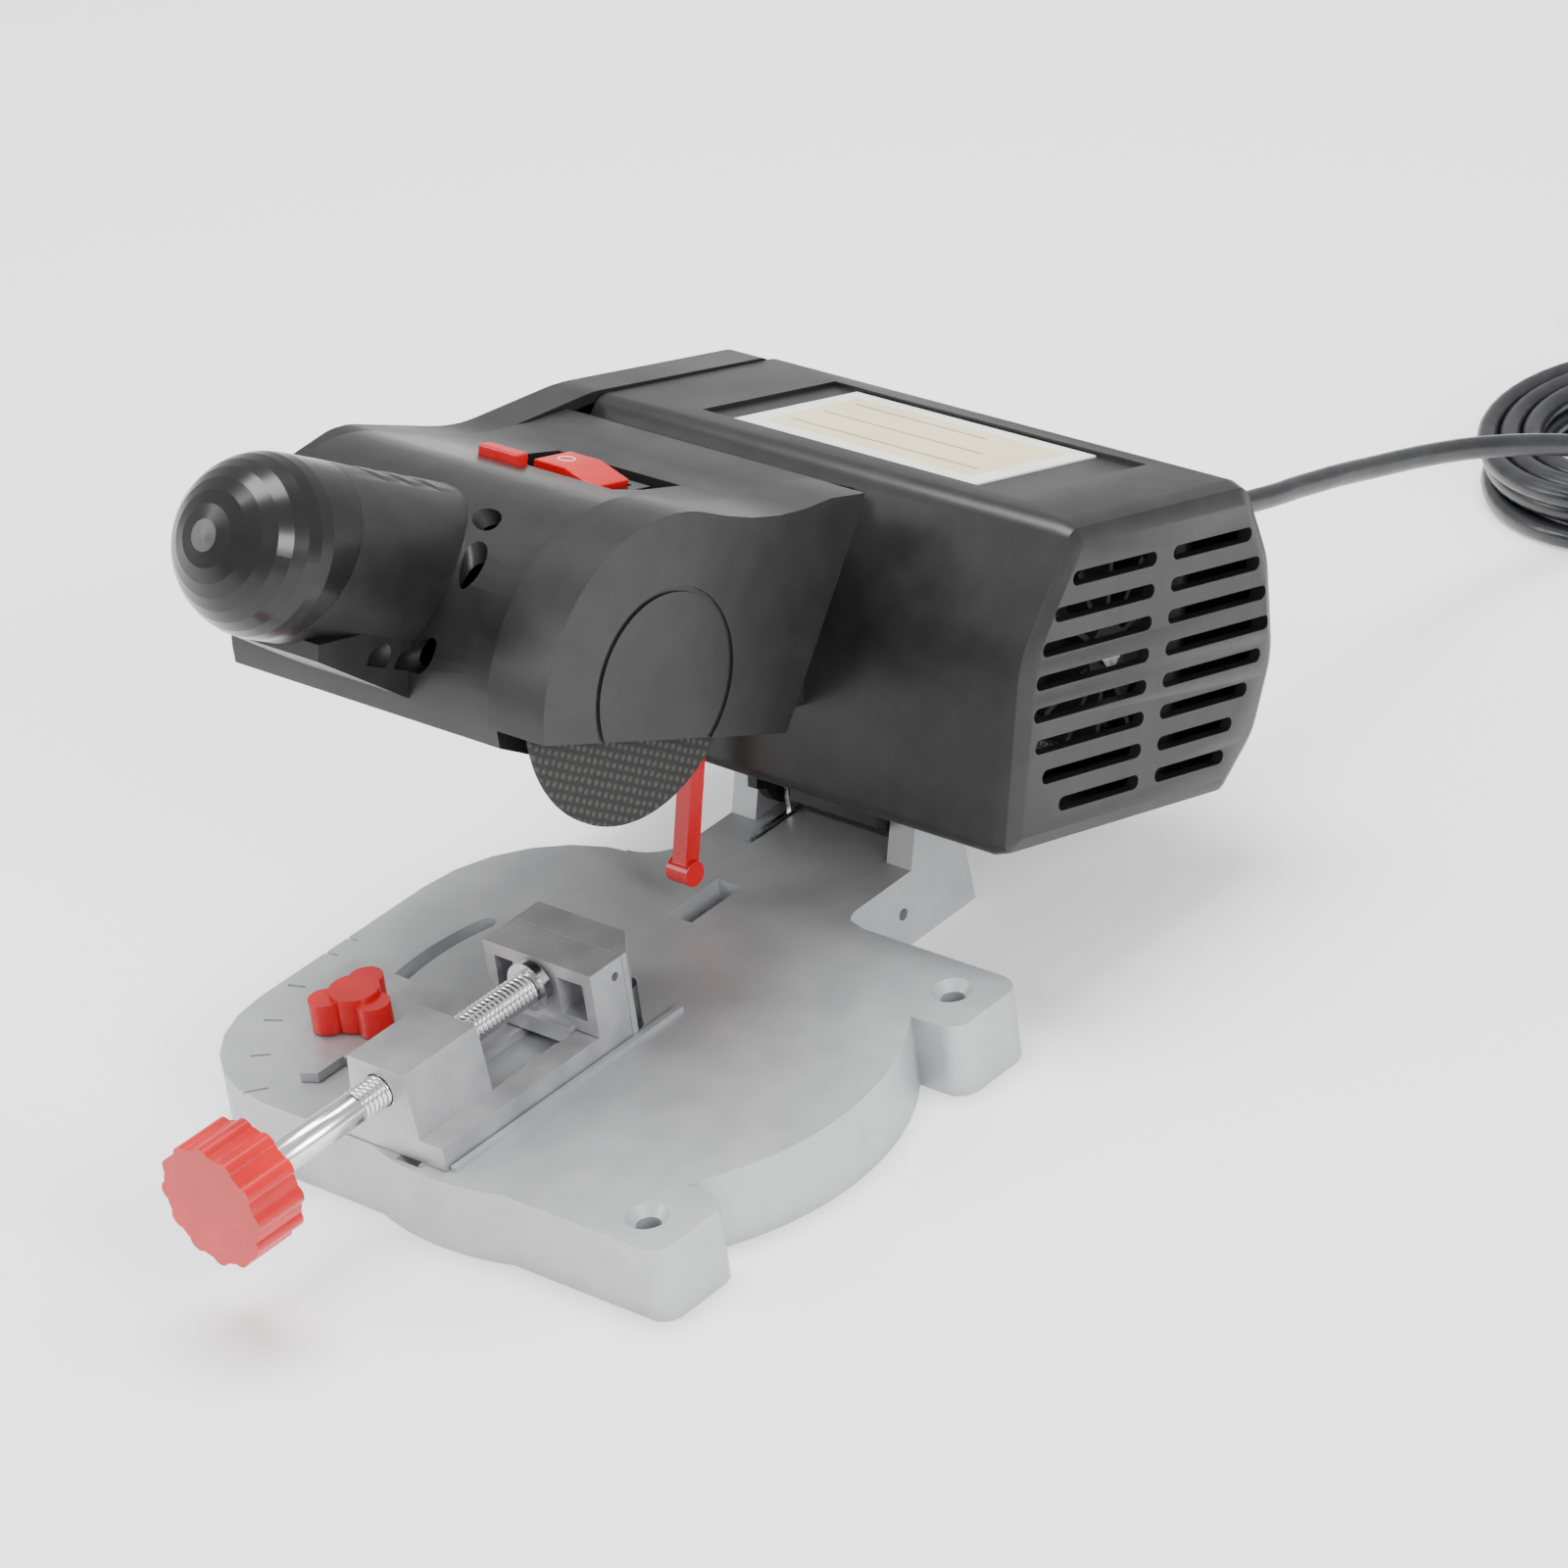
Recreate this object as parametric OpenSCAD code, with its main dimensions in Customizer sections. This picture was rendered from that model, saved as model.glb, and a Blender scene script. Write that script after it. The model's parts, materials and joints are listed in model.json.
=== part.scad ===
// Bench mini chop saw: a cast base with a swivelling screw vise, and a tilting
// head that holds the motor, a belt drive, a 50 mm cutting disc and its guard.
// World frame: +X towards the motor's vented end, +Y towards the hinge, +Z up.
// The origin lies midway between the two bench-screw holes, on the underside.

/* [Base] */
// Height of the base casting
base_h = 13.6; // [12:0.2:16]
// Thickness of the base's top plate
plate_t = 4; // [3:0.5:5]
// Thickness of the base's skirt
skirt_t = 3.6; // [3:0.2:5]
// Distance between the two bench-screw holes
screw_pitch = 76.4; // [76:0.2:77]
// Diameter of a bench-screw hole
screw_hole_d = 4.2; // [3.6:0.1:4.6]

/* [Head] */
// Angle of the raised head, front up
head_tilt = 16.5; // [15:0.5:17]
// Diameter of the cutting disc
disc_d = 50; // [44:1:50]
// Thickness of the cutting disc
disc_t = 1; // [0.8:0.1:1.2]
// Wall thickness of the moulded shells
wall = 2.2; // [1.8:0.1:2.4]
// Radius of the grip
grip_r = 15; // [14:0.5:15.5]
// Slope of the grip above the head's own level
grip_rise = 16; // [14:1:18]

/* [Vise] */
// Diameter of the vise screw
vise_screw_d = 6; // [5:0.5:6]
// Diameter of the vise knob
vise_knob_d = 22; // [18:1:24]
// Angle that the vise swivels through
swivel = 45; // [40:1:45]

/* [Cord] */
// Diameter of the power cord
cord_d = 4.2; // [4.2:0.1:4.4]

/* [Hidden] */
$fn = 48;
eps = 0.01;
gap = 0.3;                       // clearance between curved faces of two bodies
fit = 0.05;                      // radial clearance of a running fit
// Base outline
front_y = -45.7;
rear_y = 46;
left_x = -103.5;
tab_x = 8.9;
tab_w = 17.4;
bulge = [-39.4, 0, 48];          // centre and radius of the round right edge
neck_x0 = -72;
neck_x1 = -30.8;
neck_y = 80;
ear_t = 5.6;
// Hinge
hinge_y = 73;
hinge_z = 21.5;
hinge_pin_r = 2;
ear_r = 5.4;
// Head: the disc's axis is the head frame's origin
disc_x = -33.2;
disc_y = 9.1;
disc_z = 79.3;
end_x = 7.3;                     // vented end of the motor housing
deck_x = -38.6;                  // the guard meets the housing here
cover_x = -99;                   // the belt cover meets the housing here
left_face_x = -109.4;
guard_x = -26.3;                 // outer face of the guard
split_z = -4.3;                  // seam between the two shells
motor_axis = [85.5, -3.8];
motor_r = 22.5;
hinge_h = [77.7, -37.3];         // hinge axis in the head frame
grip_x = -69;
grip_start = [-4, 8.6];
grip_len = 61;
// Vise
pivot = [-41, 3];
slot_r = 45.8;
slot_w = 3.4;
lock_a = 211.7;                  // direction of the lock knob from the pivot
wing_r = 55;
screw_x = -49.9;
screw_z = 25.3;
jaw_z = 30;
jaw_x0 = -61.3;
jaw_x1 = -37;
rail_x0 = -62.5;
rail_x1 = -37.3;
rail_z = 18;
block_y0 = -45.4;
block_y1 = -28;
vise_z = base_h + 0.1;
// Belt drive
belt_x0 = -106;
belt_x1 = -101.2;
spindle_pulley_r = 8;
motor_pulley_r = 6;
// Screws, as [y', z'] or [x, y'] in the head frame
cover_screw_at = [[0, 18.5], [52.5, -20], [112, -6]];
guard_screw_at = [[37, 16], [30, -6]];
housing_screw_at = [[-90, 56], [-90, 107], [-7, 56], [-7, 107]];
boss_r = 3;
screw_r = 1.2;
// Power cord: from the strain relief to the coil, three layers of turns, and a tail to the plug
cord_r = cord_d / 2;
relief_at = [-20, 9];            // x and z' of the cord's exit
relief_tip = 140;
coil_c = [-14.5, 263.5];
coil_in = 18.7;                  // innermost and outermost turns
coil_out = 31;
coil_pitch = 4.3;
coil_entry = -45;                // direction where the cord comes down onto the coil

// ---- Outline helpers ----
function xy(p) = [p.x, p.y];
function unit(v) = v / norm(v);
// Arc of points about c, from angle a to angle b
function arc(c, r, a, b, n = 16) = [for (i = [0:n]) c + r * [cos(a + (b - a) * i / n), sin(a + (b - a) * i / n)]];
function fillet(p, v, q, r, n) = r <= 0 ? [v] :
    let (a = unit(p - v), b = unit(q - v), half = acos(a * b) / 2,
         c = v + unit(a + b) * r / sin(half), s = v + a * r / tan(half), e = v + b * r / tan(half),
         a0 = atan2(s.y - c.y, s.x - c.x), a1 = atan2(e.y - c.y, e.x - c.x),
         turn = (a1 - a0 + 540) % 360 - 180)
    [for (i = [0:n]) c + r * [cos(a0 + turn * i / n), sin(a0 + turn * i / n)]];
// Corners given as [x, y, radius]
function rounded(pts, n = 6) = let (k = len(pts))
    [for (i = [0:k - 1]) each fillet(xy(pts[(i + k - 1) % k]), xy(pts[i]), xy(pts[(i + 1) % k]), pts[i].z, n)];
// A counter-clockwise corner list moved inwards by d
function inset(pts, d) = let (k = len(pts))
    [for (i = [0:k - 1])
        let (a = unit(xy(pts[i]) - xy(pts[(i + k - 1) % k])), b = unit(xy(pts[(i + 1) % k]) - xy(pts[i])),
             n1 = [-a.y, a.x], n2 = [-b.y, b.x], m = xy(pts[i]) + (n1 + n2) * d / (1 + n1 * n2),
             convex = a.x * b.y - a.y * b.x > 0)
        [m.x, m.y, pts[i].z <= 0 ? 0 : convex ? max(pts[i].z - d, 0.4) : pts[i].z + d]];

module head_frame() translate([0, disc_y, disc_z]) rotate([-head_tilt, 0, 0]) children();
module along_x(x0, x1) translate([x0, 0, 0]) rotate([90, 0, 90]) linear_extrude(x1 - x0) children();
module along_y(y0, y1) translate([0, y1, 0]) rotate([90, 0, 0]) linear_extrude(y1 - y0) children();
module rod_x(x0, x1, r, p = [0, 0]) translate([x0, p.x, p.y]) rotate([0, 90, 0]) cylinder(r = r, h = x1 - x0);
module ring_x(x0, x1, r, r_in, p = [0, 0]) difference() {
    rod_x(x0, x1, r, p);
    rod_x(x0 - 1, x1 + 1, r_in, p);
}
module block(p, q) translate(p) cube(q - p);
// A place in the head frame, as a place in the world
function head_point(x, y, z) = [x, disc_y + y * cos(head_tilt) + z * sin(head_tilt),
    disc_z - y * sin(head_tilt) + z * cos(head_tilt)];
// A round tube along a route that never runs straight up
function ring_at(c, dir, r, n) = let (side = unit(cross(dir, [0, 0, 1])), up = cross(side, dir))
    [for (k = [0:n - 1]) c + r * (cos(360 * k / n) * side + sin(360 * k / n) * up)];
module tube(route, r, n = 10) {
    last = len(route) - 1;
    dirs = [for (i = [0:last]) unit(route[min(i + 1, last)] - route[max(i - 1, 0)])];
    polyhedron(
        points = [for (i = [0:last]) each ring_at(route[i], dirs[i], r, n)],
        faces = concat(
            [[for (k = [0:n - 1]) k]], [[for (k = [n - 1:-1:0]) last * n + k]],
            [for (i = [0:last - 1], k = [0:n - 1])
                [i * n + k, (i + 1) * n + k, (i + 1) * n + (k + 1) % n, i * n + (k + 1) % n]]));
}

// ---- Base ----
base_corners = [
    [left_x, front_y, 24], [tab_x, front_y, 3.5], [tab_x, front_y + tab_w, 4], [-8, front_y + tab_w, 3],
    [-8, rear_y - tab_w, 3], [tab_x, rear_y - tab_w, 4], [tab_x, rear_y, 4], [neck_x1, rear_y, 4],
    [neck_x1, neck_y, 2.5], [neck_x0, neck_y, 2.5], [neck_x0, rear_y, 8], [left_x, rear_y, 27]
];
skirt_corners = inset([
    [left_x, front_y, 24], [-6, front_y, 6], [-6, rear_y, 6], [left_x, rear_y, 27]], skirt_t);
rib_w = 2.4;
slot_end_a = lock_a - swivel;
module base_outline() {
    polygon(rounded(base_corners));
    translate(xy(bulge)) circle(r = bulge.z, $fn = 96);
}
module ear_side() polygon(concat(
    [[neck_y, 0], [neck_y - 1.2, 13]], arc([hinge_y, hinge_z], ear_r, 10, 165, 10),
    [[hinge_y - 8.2, base_h], [hinge_y - 8.2, 0]]));
module arc_slot(r, w, a0, a1, z0, z1) translate([0, 0, z0]) linear_extrude(z1 - z0) polygon(concat(
    arc([0, 0], r + w / 2, a0, a1, 24), arc(r * [cos(a1), sin(a1)], w / 2, a1 + 10, a1 + 170, 8),
    arc([0, 0], r - w / 2, a1, a0, 24), arc(r * [cos(a0), sin(a0)], w / 2, a0 + 190, a0 + 350, 8)));
module base_casting() color("silver") difference() {
    union() {
        difference() {
            linear_extrude(base_h) base_outline();
            translate([0, 0, -1]) linear_extrude(base_h - plate_t + 1) intersection() {
                union() {
                    polygon(rounded(skirt_corners));
                    translate(xy(bulge)) circle(r = bulge.z - skirt_t, $fn = 96);
                }
                translate([left_x, front_y + skirt_t]) square([tab_x - left_x, rear_y - front_y - 2 * skirt_t]);
            }
        }
        // Stiffening ribs under the plate
        for (y = [-31, 25]) block([left_x + 2, y - rib_w / 2, 1.5], [tab_x - 8, y + rib_w / 2, base_h - 1]);
        for (x = [-62, -20]) block([x - rib_w / 2, front_y + 2, 1.5], [x + rib_w / 2, rear_y - 2, base_h - 1]);
        translate([pivot.x, pivot.y, 5]) cylinder(r = 6.5, h = base_h - 6);
        for (x = [neck_x0, neck_x1 - ear_t]) along_x(x, x + ear_t) ear_side();
        // Stop ridge that the vise rests against at 0 degrees
        block([rail_x1 + 0.4, front_y + 1, base_h - 1], [rail_x1 + 1.6, 11, base_h + 0.9]);
    }
    // Bench-screw holes with countersinks
    for (y = [-1, 1]) translate([0, y * screw_pitch / 2, 0]) {
        translate([0, 0, -1]) cylinder(d = screw_hole_d, h = base_h + 2);
        translate([0, 0, base_h - 1.6]) cylinder(d1 = screw_hole_d, d2 = 7.8, h = 1.8);
    }
    // Hinge bores
    rod_x(neck_x0 - 1, neck_x1 + 1, hinge_pin_r, [hinge_y, hinge_z]);
    // Vise pivot bore, clear below for the bolt's head and the lock's arc
    translate([pivot.x, pivot.y, -1]) cylinder(r = 2.5 + fit, h = base_h + 2);
    translate([pivot.x, pivot.y, 0]) {
        translate([0, 0, -1]) cylinder(r = 5, h = 7.4);
        arc_slot(slot_r, slot_w, slot_end_a - 2.4, lock_a + 2.4, -1, base_h + 1);
        arc_slot(slot_r, 10, slot_end_a - 2.4, lock_a + 2.4, -1, base_h - plate_t);
        // Scale marks, every 10 degrees and at the full swivel
        for (a = [0, 10, 20, 30, 40, 45]) rotate([0, 0, 228 - a]) translate([60.5, -0.3, base_h - 0.4])
            cube([a % 45 == 0 ? 5 : 3.4, 0.6, 1]);
    }
    // Slot for the guide post
    block([-59, 33, -1], [-53.4, 46.2, base_h + 1]);
    // Notch in the front edge under the vise
    rod_y = [-44.7, 9.6];
    translate([rod_y.x, front_y + 8, rod_y.y]) rotate([90, 0, 0]) cylinder(r = 2.9, h = 9);
    block([rod_y.x - 2.9, front_y - 1, rod_y.y], [rod_y.x + 2.9, front_y + 8, base_h + 1]);
    // Spring-leg groove and the set-screw hole in the neck
    block([-63.4, 58.5, base_h - 0.9], [-61.8, neck_y - 4, base_h + 1]);
    rod_x(neck_x1 - 8, neck_x1 + 1, 1.1, [61.4, 6.6]);
}
module hinge_pin() color("dimgray") {
    rod_x(neck_x0 - 0.6, neck_x1 + 0.6, hinge_pin_r - eps, [hinge_y, hinge_z]);
    for (x = [neck_x0 - 1.4, neck_x1 + 0.3]) rod_x(x, x + 1.1, 2.6, [hinge_y, hinge_z]);
}
module return_spring() color("gray") {
    // Coil, drawn as touching rings, and its two legs
    for (i = [0:5]) translate([-62.6 + i * 0.98, hinge_y, hinge_z]) rotate([0, 90, 0])
        rotate_extrude() translate([3.1, 0]) circle(r = 0.5, $fn = 16);
    block([-63.1, 60, base_h - 0.5], [-62.1, hinge_y - 2, base_h + 0.5]);
    block([-63.1, hinge_y - 3.5, base_h - 0.5], [-62.1, hinge_y - 2.5, hinge_z]);
    translate([-57.7, hinge_y, hinge_z]) rotate([-head_tilt, 0, 0]) block([-0.5, 2.6, 0], [0.5, 3.6, 3.4]);
}

// ---- Vise ----
function wing_points() = concat(
    [for (p = arc(pivot, wing_r, 190, 228, 12)) p], [[-74.9, -36.5], [-74.9, -30.5], [-60, -30.5], [-60, -8]]);
module vise_frame() color("darkgray") difference() {
    union() {
        block([rail_x0, block_y0, vise_z], [rail_x1, 1, rail_z]);
        // Swivel wing with the pointer at its tip
        translate([0, 0, vise_z]) linear_extrude(1.8) polygon(wing_points());
        // Threaded block
        along_y(block_y0, block_y1) polygon([
            [screw_x - 8, vise_z], [screw_x + 8, vise_z], [screw_x + 6.3, jaw_z], [screw_x - 6.3, jaw_z]]);
        // Fixed jaw, chamfered where it swings past the disc
        translate([0, 0, vise_z]) linear_extrude(jaw_z - vise_z) polygon([
            [jaw_x0, 0.1], [jaw_x1, 0.1], [jaw_x1, 1.2], [-41.6, 6.2], [jaw_x0, 6.2]]);
    }
    // Channel between the rails, with a window in its floor
    block([screw_x - 7.6, block_y1, vise_z + 1.7], [screw_x + 7.6, 0.1, rail_z + 1]);
    block([screw_x - 4.2, block_y1 + 2, vise_z - 1], [screw_x + 4.2, -3, rail_z]);
    translate([screw_x, block_y0 - 1, screw_z]) rotate([-90, 0, 0])
        cylinder(r = vise_screw_d / 2 + fit, h = block_y1 - block_y0 + 2);
    translate([pivot.x, pivot.y, vise_z - 1]) cylinder(r = 2.5, h = 9);
    translate([pivot.x, pivot.y, 0]) rotate([0, 0, lock_a]) translate([slot_r, 0, vise_z - 1]) cylinder(r = 1.55, h = 4);
}
module vise_pivot_bolt() color("dimgray") translate([pivot.x, pivot.y, 0]) {
    translate([0, 0, 3]) cylinder(r = 4.5, h = 3.2, $fn = 6);
    translate([0, 0, 6]) cylinder(r = 2.5 - eps, h = 15.6);
}
module at_lock() translate([pivot.x, pivot.y, 0]) rotate([0, 0, lock_a]) translate([slot_r, 0, 0]) children();
module vise_lock_bolt() color("dimgray") at_lock() {
    translate([0, 0, base_h - plate_t - 2.3]) cylinder(r = 3.2, h = 2.2, $fn = 6);
    translate([0, 0, base_h - plate_t - 0.2]) cylinder(r = 1.5, h = 10.8);
}
module vise_lock_knob() color("crimson") at_lock() translate([0, 0, vise_z + 2.1]) difference() {
    union() {
        cylinder(r = 4.4, h = 6.4);
        for (a = [0:120:240]) rotate([0, 0, a + 20]) translate([5, 0, 0]) cylinder(r = 3, h = 5.6);
    }
    translate([0, 0, -1]) cylinder(r = 1.5 + fit, h = 5.6);
}
module moving_jaw() color("lightgray") difference() {
    union() {
        block([jaw_x0, -7.6, rail_z + 0.2], [jaw_x1, 0, jaw_z]);
        block([screw_x - 7.3, -9, vise_z + 2], [screw_x + 7.3, -0.2, rail_z + 1]);
    }
    // Two window pockets beside the screw boss
    for (x = [[jaw_x0 + 2.2, screw_x - 5], [screw_x + 5, jaw_x1 - 2.2]])
        block([x[0], -8, rail_z + 2.6], [x[1], -2.6, jaw_z - 2.4]);
    translate([screw_x, -10, screw_z]) rotate([-90, 0, 0]) cylinder(r = 2.3 + fit, h = 7.4);
    rod_x(jaw_x1 - 4, jaw_x1 + 1, 0.8, [-2, 27]);
}
module vise_screw() color("gainsboro") translate([screw_x, 0, screw_z]) rotate([-90, 0, 0]) {
    translate([0, 0, -82]) cylinder(r = 2.8, h = 31);
    translate([0, 0, -52.4]) cylinder(r = vise_screw_d / 2, h = 42.2);
    translate([0, 0, -10.5]) cylinder(r = 2.3, h = 7.4);
}
module retaining_ring() color("silver") translate([screw_x, -9.9, screw_z]) rotate([-90, 0, 0]) difference() {
    cylinder(r = 4.4, h = 1.6);
    translate([0, 0, -1]) cylinder(r = 2.3, h = 4);
}
module vise_knob() color("red") translate([screw_x, -84.2, screw_z]) rotate([-90, 0, 0]) difference() {
    union() {
        cylinder(d = vise_knob_d - 1.6, h = 10.2);
        translate([0, 0, 10]) cylinder(r = 4.6, h = 1.4);
        for (a = [0:30:330]) rotate([0, 0, a]) translate([vise_knob_d / 2 - 1.9, 0, 0]) cylinder(r = 1.9, h = 10.2, $fn = 24);
    }
    translate([0, 0, 2.2]) cylinder(r = 2.8, h = 12);
}

// ---- Head shells ----
motor_corners = [
    [49.4, -31.3, 2.5], [109.5, -31.3, 4], [117.6, -22, 12], [121.3, -8, 16], [117.4, 10, 16],
    [109.2, 24.2, 5], [60.8, 24.2, 4], [49.4, 3, 18]];
deck_arc_r = 26.4;
function deck_outline(d) = let (r = deck_arc_r - d) concat(
    arc([0, 0], r, 78, 200, 18), [[-14 + d / 2, -12.6 + d], [36, -15.4 + d], [52, -15.4 + d], [62, 20]],
    [for (i = [5:-1:1]) [r * cos(78) + (62 - r * cos(78)) * i / 6,
        24.2 - d / 2 + (r * sin(78) - 24.2 + d / 2) * (1 - i / 6) - 3.4 * sin(30 * i)]]);
function guard_outline(r) = concat(
    arc([0, 0], r, 78, 190, 20), [[31, -13.8], [46.6, 22.4], [46.9, 24.6]],
    [for (i = [5:-1:1]) [r * cos(78) + (45 - r * cos(78)) * i / 6,
        26.2 + (r * sin(78) - 26.2) * (1 - i / 6) - 2.9 * sin(30 * i)]]);
module motor_solid(x0, x1, d) hull() {
    along_x(x0, x1 - 4) polygon(rounded(inset(motor_corners, d)));
    along_x(x1 - 4, x1 - 1.4) polygon(rounded(inset(motor_corners, d + 0.9)));
    along_x(x1 - 1.4, x1) polygon(rounded(inset(motor_corners, d + 3.4)));
}
module grip_solid(d) translate([grip_x, grip_start.x, grip_start.y]) rotate([90 - grip_rise, 0, 0])
    rotate_extrude() polygon(concat([[0, 0], [grip_r - d, 0], [grip_r - d, grip_len - 14]],
        [for (a = [10:10:80]) [(grip_r - d) * cos(a), grip_len - 14 + (14 - d) * sin(a)]], [[0, grip_len - d]]));
module keel(d) along_x(grip_x - 11 + d, grip_x + 11 - d) polygon([
    [-47 + d, 7.4], [-47 + d, 4.6 + d], [-10, -12.6 + d], [-4, -12.6 + d], [-4, 8]]);
module head_solid(d) {
    motor_solid(cover_x + gap + d, end_x - d, d);
    along_x(cover_x + gap + d, deck_x - d) polygon(deck_outline(d));
    grip_solid(d);
    keel(d);
}
// Everything above the seam, which climbs with the grip
module above_seam(e = 0) along_x(-130, 20) polygon([
    [-90, split_z + 20.8 + e], [-12, split_z + e], [140, split_z + e], [140, 60], [-90, 60]]);
module below_seam() along_x(-130, 20) polygon([
    [-90, split_z + 20.8], [-12, split_z], [140, split_z], [140, -60], [-90, -60]]);
module cap_zone(e = 0) along_x(-130, 20) polygon([[-33 - e, 40], [-52 - e, 6], [-100, 6], [-100, 60], [-33 - e, 60]]);
module deck_cavity() along_x(cover_x + gap + wall, deck_x - wall) polygon(deck_outline(wall));
module cavity() {
    motor_solid(cover_x + gap + wall, end_x - wall, wall);
    deck_cavity();
    grip_solid(wall);
}
// Vent slots in two columns: each row's outer end, then the row's height
vent_rows = [[61, 109.5], [57, 112.5], [54.5, 115], [53.5, 116.6], [53.5, 115], [54.5, 112], [57, 108.5], [62, 106.9]];
vent_split = [83.4, 87.9];
module vent_slot(y0, y1, z) along_x(end_x - wall - 2, end_x + 1) {
    translate([y0 + 1.25, z - 1.25]) square([y1 - y0 - 2.5, 2.5]);
    for (y = [y0 + 1.25, y1 - 1.25]) translate([y, z]) circle(r = 1.25, $fn = 20);
}
module vent_slots() for (i = [0:7]) {
    vent_slot(vent_rows[i][0], vent_split[0], 15.2 - 5.55 * i);
    vent_slot(vent_split[1], vent_rows[i][1], 15.2 - 5.55 * i);
}
module bearing_seats(r) {
    rod_x(-97.2, -91.8, r);
    rod_x(-45.2, -39.8, r);
}
module shell_common() difference() {
    union() {
        difference() {
            head_solid(0);
            cavity();
        }
        // Webs that hold the spindle bearings, bulkheads that hold the motor, screw bosses
        intersection() {
            union() {
                block([-97.6, -12, -12.6], [-91.4, 12, 18]);
                block([-45.6, -12, -12.6], [-39.4, 12, 18]);
                for (x = [-66, -22]) difference() {
                    block([x, 46, -34], [x + 3, 124, 27]);
                    rod_x(x - 1, x + 4, motor_r, motor_axis);
                }
                for (p = housing_screw_at) translate([p.x, p.y, -32]) cylinder(r = boss_r, h = 60);
            }
            head_solid(0.5);
        }
    }
    bearing_seats(8);
    rod_x(-110, deck_x + 1, 5);
    rod_x(-110, -90, 5, motor_axis);
    vent_slots();
    for (p = cover_screw_at) rod_x(-100, -94, screw_r, p);
    for (p = guard_screw_at) rod_x(-43, deck_x + 1, screw_r, p);
    for (p = housing_screw_at) translate([p.x, p.y, -33]) {
        cylinder(r = screw_r, h = 40);
        cylinder(r = 2.2, h = 2.5);
    }
    // Seat of the cord's strain relief
    translate([relief_at.x, 108, relief_at.y]) rotate([-90, 0, 0]) cylinder(r = 4.6, h = 16);
}
recess = [[-81, 68], [-11.2, 103.2]];
switch_c = [-69.4, 24.2];
switch_z = 17.6;
module upper_housing() color([0.09, 0.09, 0.1]) head_frame() difference() {
    intersection() {
        union() {
            shell_common();
            // Tray under the switch recess
            along_x(-84.5, -53.2) intersection() {
                polygon(deck_outline(0.5));
                translate([15, 15.6]) square([20.6, 10]);
            }
            // Shelf under the lock button's spring
            difference() {
                block([-92, -5, 9.6], [-73, 5, 10.8]);
                translate([-77.3, 0, 9]) cylinder(r = 1.7, h = 3, $fn = 24);
            }
        }
        above_seam();
    }
    cap_zone();
    // Label recess
    block([recess[0].x, recess[0].y, 23.4], [recess[1].x, recess[1].y, 30]);
    // Switch recess and the opening for its body
    block([-82.8, 16.8, 19.2], [-55, 33.8, 30]);
    block([-78.2, 18.6, 10], [-60.6, 29.8, 30]);
    // Slot for the lock button
    block([-82.1, 12.5, 10], [-72.5, 15.9, 40]);
    // Grip grooves
    for (i = [0:2]) translate([grip_x, grip_start.x, grip_start.y]) rotate([90 - grip_rise, 0, 0])
        translate([3, 0, 17 + i * 6.5]) rotate([0, 24, 0]) rotate_extrude() translate([grip_r + 1.5, 0]) circle(r = 2.3, $fn = 20);
    // Wrench slot under the lock button
    block([-58, -16, 11.6], [-50, 2, 13.6]);
}
module hinge_block() difference() {
    along_x(neck_x0 + ear_t + gap, neck_x1 - ear_t - gap) polygon(concat(
        [[hinge_h.x + 10, -30.5], [hinge_h.x - 10, -30.5], [hinge_h.x - 8.6, -40.4]], arc(hinge_h, 7, 210, 350, 14)));
    rod_x(neck_x0, neck_x1, hinge_pin_r + fit, hinge_h);
    // Room for the return spring
    rod_x(-64, -56.4, 5, hinge_h);
    block([-64, hinge_h.x - 12, -50], [-56.4, hinge_h.x + 5, hinge_h.y]);
}
module lower_housing() color([0.08, 0.08, 0.09]) head_frame() {
    difference() {
        intersection() {
            shell_common();
            below_seam();
        }
        cap_zone();
        block([-57.8 - eps, 40.6 - eps, -20], [-54.6 + eps, 44 + eps, -12]);
    }
    hinge_block();
}
module grip_cap() color([0.05, 0.05, 0.06]) head_frame() intersection() {
    difference() {
        grip_solid(0);
        grip_solid(wall);
    }
    cap_zone(0.1);
}
guard_t = 1.8;
module blade_guard() color([0.07, 0.07, 0.08]) head_frame() difference() {
    union() {
        difference() {
            along_x(deck_x + 0.1, guard_x) polygon(guard_outline(28.5));
            // Open below and hollow inside
            along_x(deck_x - 1, guard_x - guard_t) intersection() {
                polygon(guard_outline(28.5 - guard_t));
                translate([-40, -30]) square([84, 53]);
            }
            rod_x(deck_x - 1, guard_x - guard_t, 28.5 - guard_t);
            along_x(deck_x - 1, guard_x - guard_t) polygon([[-26.4, 0], [-26.4, -30], [26, -30], [26, 0]]);
        }
        for (p = guard_screw_at) rod_x(deck_x + 0.1, guard_x - 1, boss_r, p);
    }
    for (p = guard_screw_at) rod_x(deck_x - 1, -32, screw_r, p);
    // Round groove in the face
    translate([guard_x, 0, 0]) rotate([0, 90, 0]) difference() {
        translate([0, 0, -0.5]) cylinder(r = 16.4, h = 2);
        translate([0, 0, -1]) cylinder(r = 15.4, h = 4);
    }
}
cover_t = 1.8;
cover_corners = [
    [-14, -12.4, 12], [36, -15, 20], [56, -29, 12], [107, -29, 8], [118, -14, 14], [118, 4, 14],
    [106.5, 24.6, 5], [60, 24.8, 30], [34, 20.6, 40], [6, 25.2, 12], [-17, 17, 12]];
module cover_solid(d) {
    along_x(left_face_x + 2.4, cover_x) polygon(rounded(inset(cover_corners, d)));
    along_x(left_face_x + 1, left_face_x + 2.5) polygon(rounded(inset(cover_corners, d + 0.6)));
    along_x(left_face_x, left_face_x + 1.1) polygon(rounded(inset(cover_corners, d + 1.8)));
}
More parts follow.
